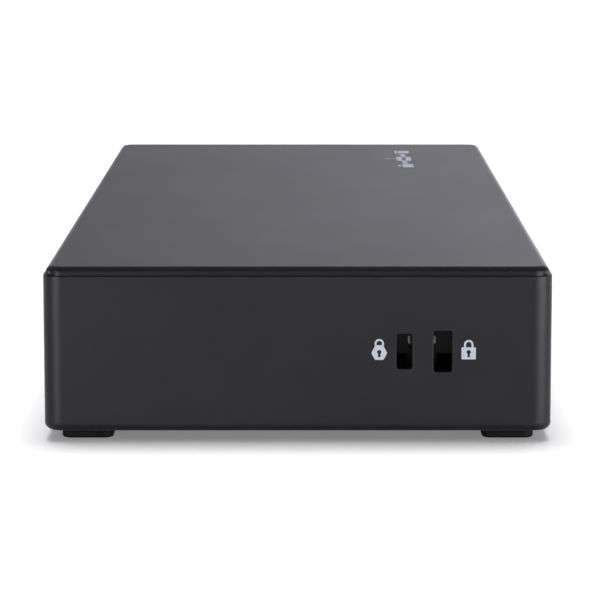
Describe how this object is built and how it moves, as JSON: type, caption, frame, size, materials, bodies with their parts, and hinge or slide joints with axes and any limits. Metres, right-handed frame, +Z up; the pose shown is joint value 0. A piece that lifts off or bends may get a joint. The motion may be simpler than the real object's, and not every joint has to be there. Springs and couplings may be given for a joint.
{
  "type": "laptop docking station",
  "caption": "Flat desktop box that links a laptop to displays, a network, USB devices and power, with lock slots in one end.",
  "frame": {"origin": "centre of the whole box's footprint, on the plane that the feet stand on", "axes": "+X along the box towards the lock-slot end, +Y across it towards the rear ports, +Z up"},
  "size_m": [0.215, 0.085, 0.0295],
  "materials": {
    "housing_plastic": "fine-textured satin charcoal ABS",
    "cover_plastic": "fine-textured satin charcoal ABS",
    "button_plastic": "smooth black",
    "label_foil": "blank matt silver film",
    "foot_rubber": "soft matt black",
    "bracket_steel": "zinc-plated sheet",
    "screw_steel": "nickel-plated",
    "insert_brass": "knurled and turned",
    "circuit_board": "green solder mask",
    "cable_film": "white polyester film",
    "socket_plastic": "natural nylon",
    "chip_epoxy": "moulded black epoxy",
    "sink_aluminium": "extruded",
    "pad_rubber": "soft silicone pad",
    "shell_metal": "nickel-plated shell",
    "insert_plastic": "black moulding",
    "contact_gold": "gold-plated",
    "light_resin": "clear lens",
    "light_pipe_clear": "clear acrylic"
  },
  "bodies": {
    "dock": {"audio_jack_body": "insert_plastic", "base_label": "label_foil", "board_screws": "screw_steel", "cable_socket_front": "socket_plastic", "cable_socket_main": "socket_plastic", "capacitors": "sink_aluminium", "display_chip": "chip_epoxy", "ethernet_jack_contacts": "contact_gold", "ethernet_jack_insert": "insert_plastic", "ethernet_jack_lights": "light_resin", "ethernet_jack_shell": "shell_metal", "ethernet_transformer": "chip_epoxy", "flat_cable": "cable_film", "foot_far_front": "foot_rubber", "foot_far_rear": "foot_rubber", "foot_lock_front": "foot_rubber", "foot_lock_rear": "foot_rubber", "front_board": "circuit_board", "front_usb_a_insert": "insert_plastic", "front_usb_a_shell": "shell_metal", "front_usb_c_insert": "insert_plastic", "front_usb_c_shell": "shell_metal", "heat_sink": "sink_aluminium", "heat_sink_pins": "insert_plastic", "housing_screws": "screw_steel", "hub_chip": "chip_epoxy", "inductors": "chip_epoxy", "laptop_port_insert": "insert_plastic", "laptop_port_shell": "shell_metal", "light_pipe": "light_pipe_clear", "lock_bracket": "bracket_steel", "lock_bracket_screw": "screw_steel", "lower_housing": "housing_plastic", "main_board": "circuit_board", "mount_inserts": "insert_brass", "power_inlet_body": "insert_plastic", "power_inlet_contact": "contact_gold", "power_inlet_pin": "shell_metal", "shield_can": "shell_metal", "status_led": "light_resin", "switch_body": "socket_plastic", "switch_dome": "shell_metal", "thermal_pads": "pad_rubber", "top_cover": "cover_plastic", "usb_stack_1_insert": "insert_plastic", "usb_stack_1_shell": "shell_metal", "usb_stack_2_insert": "insert_plastic", "usb_stack_2_shell": "shell_metal", "video_port_1_insert": "insert_plastic", "video_port_1_shell": "shell_metal", "video_port_2_insert": "insert_plastic", "video_port_2_shell": "shell_metal", "video_port_3_insert": "insert_plastic", "video_port_3_shell": "shell_metal", "video_port_4_insert": "insert_plastic", "video_port_4_shell": "shell_metal"},
    "button": {"power_button": "button_plastic", "switch_plunger": "socket_plastic"}
  },
  "joints": [
    {"name": "power_button_press", "type": "slide", "parent": "dock", "child": "button", "axis": [0, 1, 0], "range_m": [0, 0.0005], "stiffness_N_per_m": 3200, "deforming": ["switch_dome"]}
  ]
}
